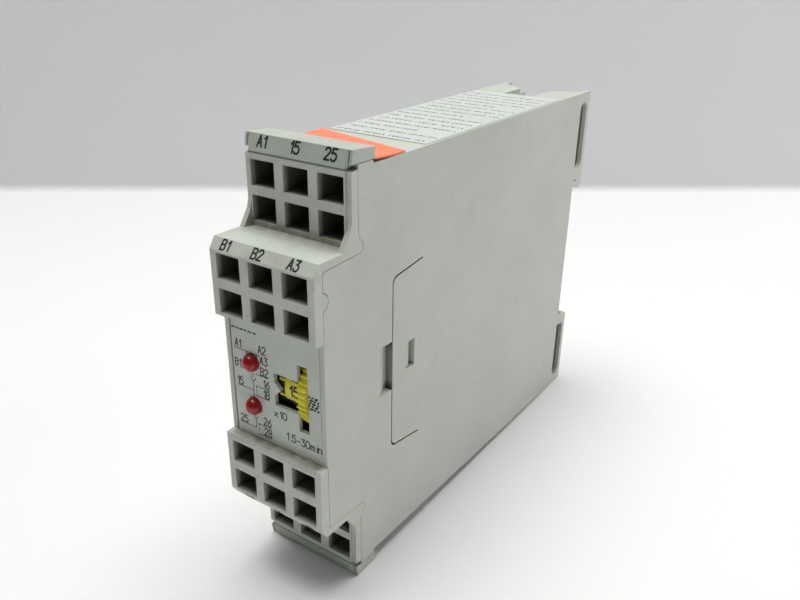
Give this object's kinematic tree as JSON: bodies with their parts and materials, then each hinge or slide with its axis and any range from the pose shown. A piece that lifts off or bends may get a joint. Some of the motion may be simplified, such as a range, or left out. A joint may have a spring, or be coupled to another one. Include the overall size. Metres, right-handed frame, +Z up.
{
  "type": "din rail timer",
  "caption": "Slim timer relay that clips on a rail, with stepped spring-clamp terminals above and below, a recessed plate with dial and lamps, and a rear latch.",
  "frame": {"origin": "under the middle of the object, at the height of the lower marker cap's lowest edge", "axes": "+X across the width to the right seen from the front, +Y from the front plate to the rail, +Z up"},
  "size_m": [0.0226, 0.1036, 0.0837],
  "materials": {
    "housing_grey": "fine moulded texture, grey-green",
    "cap_grey": "fine moulded texture, light grey-green",
    "plate_grey": "smooth satin with fine black line print",
    "signal_orange": "satin orange",
    "label_white": "satin pale label with rows of fine grey print",
    "latch_grey": "moulded, darker grey",
    "spring_steel": "bright spring strip and wire",
    "circuit_board": "solder mask over glass laminate",
    "tinned_brass": "tinned",
    "dial_yellow": "satin yellow with black numbers",
    "shaft_white": "natural nylon",
    "potentiometer_blue": "moulded",
    "lamp_red": "tinted diffusing lens",
    "relay_cream": "moulded",
    "black_plastic": "moulded",
    "bobbin_cream": "moulded",
    "copper_wire": "enamelled copper winding",
    "relay_iron": "plated soft iron",
    "capacitor_yellow": "potted box",
    "capacitor_blue": "sleeved can",
    "varistor_blue": "dipped coating",
    "resistor_tan": "lacquered with colour bands",
    "ceramic_tan": "dipped coating"
  },
  "bodies": {
    "housing": {"rear_housing": "housing_grey", "front_housing": "housing_grey", "upper_terminal_housing": "housing_grey", "lower_terminal_housing": "housing_grey", "upper_marker_cap": "cap_grey", "lower_marker_cap": "cap_grey", "front_plate": "plate_grey", "orange_strip": "signal_orange", "rating_label": "label_white", "rail_latch_spring": "spring_steel", "main_board": "circuit_board", "front_board": "circuit_board", "upper_terminal_board": "circuit_board", "lower_terminal_board": "circuit_board", "board_links": "tinned_brass", "dial_potentiometer": "potentiometer_blue", "supply_led": "lamp_red", "output_led": "lamp_red", "bars_upper_outer": "tinned_brass", "bars_upper_inner": "tinned_brass", "bars_lower_inner": "tinned_brass", "bars_lower_outer": "tinned_brass", "relay_case": "relay_cream", "relay_base": "black_plastic", "relay_bobbin": "bobbin_cream", "relay_winding": "copper_wire", "relay_core": "relay_iron", "relay_yoke": "relay_iron", "relay_fixed_contacts": "tinned_brass", "dropper_capacitor": "capacitor_yellow", "smoothing_capacitor": "capacitor_blue", "bridge_rectifier": "black_plastic", "varistor": "varistor_blue", "timer_chip": "black_plastic", "resistors": "resistor_tan", "diodes": "black_plastic", "ceramic_capacitors": "ceramic_tan"},
    "dial": {"dial_wheel": "dial_yellow", "dial_shaft": "shaft_white"},
    "rail_latch": {"rail_latch": "latch_grey"},
    "relay_armature": {"relay_armature": "relay_iron"},
    "relay_card": {"relay_card": "relay_cream"},
    "relay_blades": {"relay_blades": "copper_wire"},
    "clamp_upper_outer_1": {"clamp_upper_outer_1": "spring_steel"},
    "clamp_upper_outer_2": {"clamp_upper_outer_2": "spring_steel"},
    "clamp_upper_outer_3": {"clamp_upper_outer_3": "spring_steel"},
    "clamp_upper_inner_1": {"clamp_upper_inner_1": "spring_steel"},
    "clamp_upper_inner_2": {"clamp_upper_inner_2": "spring_steel"},
    "clamp_upper_inner_3": {"clamp_upper_inner_3": "spring_steel"},
    "clamp_lower_inner_1": {"clamp_lower_inner_1": "spring_steel"},
    "clamp_lower_inner_2": {"clamp_lower_inner_2": "spring_steel"},
    "clamp_lower_inner_3": {"clamp_lower_inner_3": "spring_steel"},
    "clamp_lower_outer_1": {"clamp_lower_outer_1": "spring_steel"},
    "clamp_lower_outer_2": {"clamp_lower_outer_2": "spring_steel"},
    "clamp_lower_outer_3": {"clamp_lower_outer_3": "spring_steel"}
  },
  "joints": [
    {"name": "dial_turn", "type": "hinge", "parent": "housing", "child": "dial", "pos_m": [0, -0.04305, 0.0421], "axis": [1, 0, 0], "range_deg": [-135, 135]},
    {"name": "rail_latch_pull", "type": "slide", "parent": "housing", "child": "rail_latch", "axis": [0, 0, -1], "range_m": [0, 0.003], "stiffness_N_per_m": 1500, "springref_m": -0.002, "deforming": ["rail_latch_spring"]},
    {"name": "clamp_upper_outer_1_press", "type": "hinge", "parent": "housing", "child": "clamp_upper_outer_1", "pos_m": [-0.00725, -0.03035, 0.07792], "axis": [1, 0, 0], "range_deg": [0, 12], "stiffness_Nm_per_rad": 0.2, "springref_deg": -5.73},
    {"name": "clamp_upper_outer_2_press", "type": "hinge", "parent": "housing", "child": "clamp_upper_outer_2", "pos_m": [0, -0.03035, 0.07792], "axis": [1, 0, 0], "range_deg": [0, 12], "stiffness_Nm_per_rad": 0.2, "springref_deg": -5.73},
    {"name": "clamp_upper_outer_3_press", "type": "hinge", "parent": "housing", "child": "clamp_upper_outer_3", "pos_m": [0.00725, -0.03035, 0.07792], "axis": [1, 0, 0], "range_deg": [0, 12], "stiffness_Nm_per_rad": 0.2, "springref_deg": -5.73},
    {"name": "clamp_upper_inner_1_press", "type": "hinge", "parent": "housing", "child": "clamp_upper_inner_1", "pos_m": [-0.00725, -0.03955, 0.06398], "axis": [1, 0, 0], "range_deg": [0, 12], "stiffness_Nm_per_rad": 0.2, "springref_deg": -5.73},
    {"name": "clamp_upper_inner_2_press", "type": "hinge", "parent": "housing", "child": "clamp_upper_inner_2", "pos_m": [0, -0.03955, 0.06398], "axis": [1, 0, 0], "range_deg": [0, 12], "stiffness_Nm_per_rad": 0.2, "springref_deg": -5.73},
    {"name": "clamp_upper_inner_3_press", "type": "hinge", "parent": "housing", "child": "clamp_upper_inner_3", "pos_m": [0.00725, -0.03955, 0.06398], "axis": [1, 0, 0], "range_deg": [0, 12], "stiffness_Nm_per_rad": 0.2, "springref_deg": -5.73},
    {"name": "clamp_lower_inner_1_press", "type": "hinge", "parent": "housing", "child": "clamp_lower_inner_1", "pos_m": [-0.00725, -0.03955, 0.01972], "axis": [-1, 0, 0], "range_deg": [0, 12], "stiffness_Nm_per_rad": 0.2, "springref_deg": -5.73},
    {"name": "clamp_lower_inner_2_press", "type": "hinge", "parent": "housing", "child": "clamp_lower_inner_2", "pos_m": [0, -0.03955, 0.01972], "axis": [-1, 0, 0], "range_deg": [0, 12], "stiffness_Nm_per_rad": 0.2, "springref_deg": -5.73},
    {"name": "clamp_lower_inner_3_press", "type": "hinge", "parent": "housing", "child": "clamp_lower_inner_3", "pos_m": [0.00725, -0.03955, 0.01972], "axis": [-1, 0, 0], "range_deg": [0, 12], "stiffness_Nm_per_rad": 0.2, "springref_deg": -5.73},
    {"name": "clamp_lower_outer_1_press", "type": "hinge", "parent": "housing", "child": "clamp_lower_outer_1", "pos_m": [-0.00725, -0.03035, 0.00577], "axis": [-1, 0, 0], "range_deg": [0, 12], "stiffness_Nm_per_rad": 0.2, "springref_deg": -5.73},
    {"name": "clamp_lower_outer_2_press", "type": "hinge", "parent": "housing", "child": "clamp_lower_outer_2", "pos_m": [0, -0.03035, 0.00577], "axis": [-1, 0, 0], "range_deg": [0, 12], "stiffness_Nm_per_rad": 0.2, "springref_deg": -5.73},
    {"name": "clamp_lower_outer_3_press", "type": "hinge", "parent": "housing", "child": "clamp_lower_outer_3", "pos_m": [0.00725, -0.03035, 0.00577], "axis": [-1, 0, 0], "range_deg": [0, 12], "stiffness_Nm_per_rad": 0.2, "springref_deg": -5.73},
    {"name": "relay_armature_pull", "type": "hinge", "parent": "housing", "child": "relay_armature", "pos_m": [0.00735, 0.01155, 0.05085], "axis": [0, 0, 1], "range_deg": [0, 4], "stiffness_Nm_per_rad": 0.0005, "springref_deg": -11.46},
    {"name": "relay_card_push", "type": "slide", "parent": "housing", "child": "relay_card", "axis": [0, 1, 0], "range_m": [-0.00042, 0]},
    {"name": "relay_blades_bend", "type": "hinge", "parent": "housing", "child": "relay_blades", "pos_m": [-0.00505, 0.01607, 0.05085], "axis": [0, 0, 1], "range_deg": [-3.5, 0]}
  ],
  "couplings": [
    {"joint": "relay_card_push", "follows": "relay_armature_pull", "m_per_rad": -0.0056},
    {"joint": "relay_blades_bend", "follows": "relay_armature_pull", "ratio": -0.8235}
  ]
}
